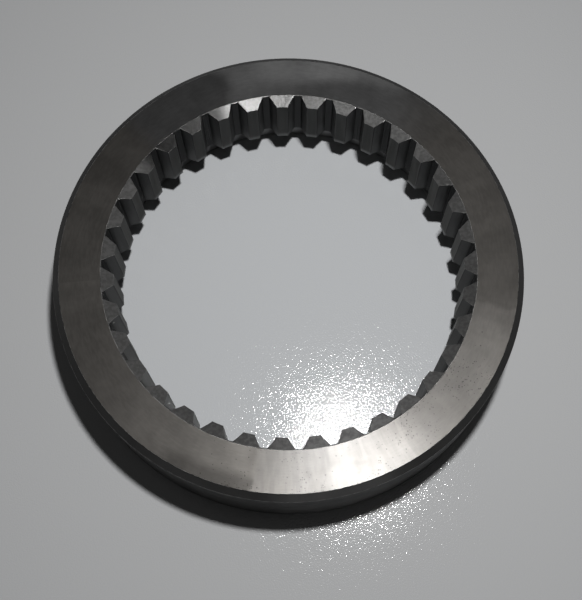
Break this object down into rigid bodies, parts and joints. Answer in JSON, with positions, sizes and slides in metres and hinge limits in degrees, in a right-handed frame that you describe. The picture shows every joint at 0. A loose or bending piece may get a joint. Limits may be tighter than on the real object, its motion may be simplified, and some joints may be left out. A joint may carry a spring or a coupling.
{
  "type": "internal ring gear",
  "caption": "Steel ring with an involute spline of straight internal teeth in the upper part of its bore, a plain relief bore below the teeth, countersunk tooth ends and bevelled outer edges.",
  "frame": {"origin": "on the ring's axis, at the face it rests on", "axes": "+Z along the ring's axis, up from the resting face; +X through the middle of a tooth space"},
  "size_m": [0.138, 0.138, 0.031],
  "materials": {
    "steel": "ground face, machined teeth"
  },
  "bodies": {
    "root": {"ring_gear": "steel"}
  },
  "joints": []
}
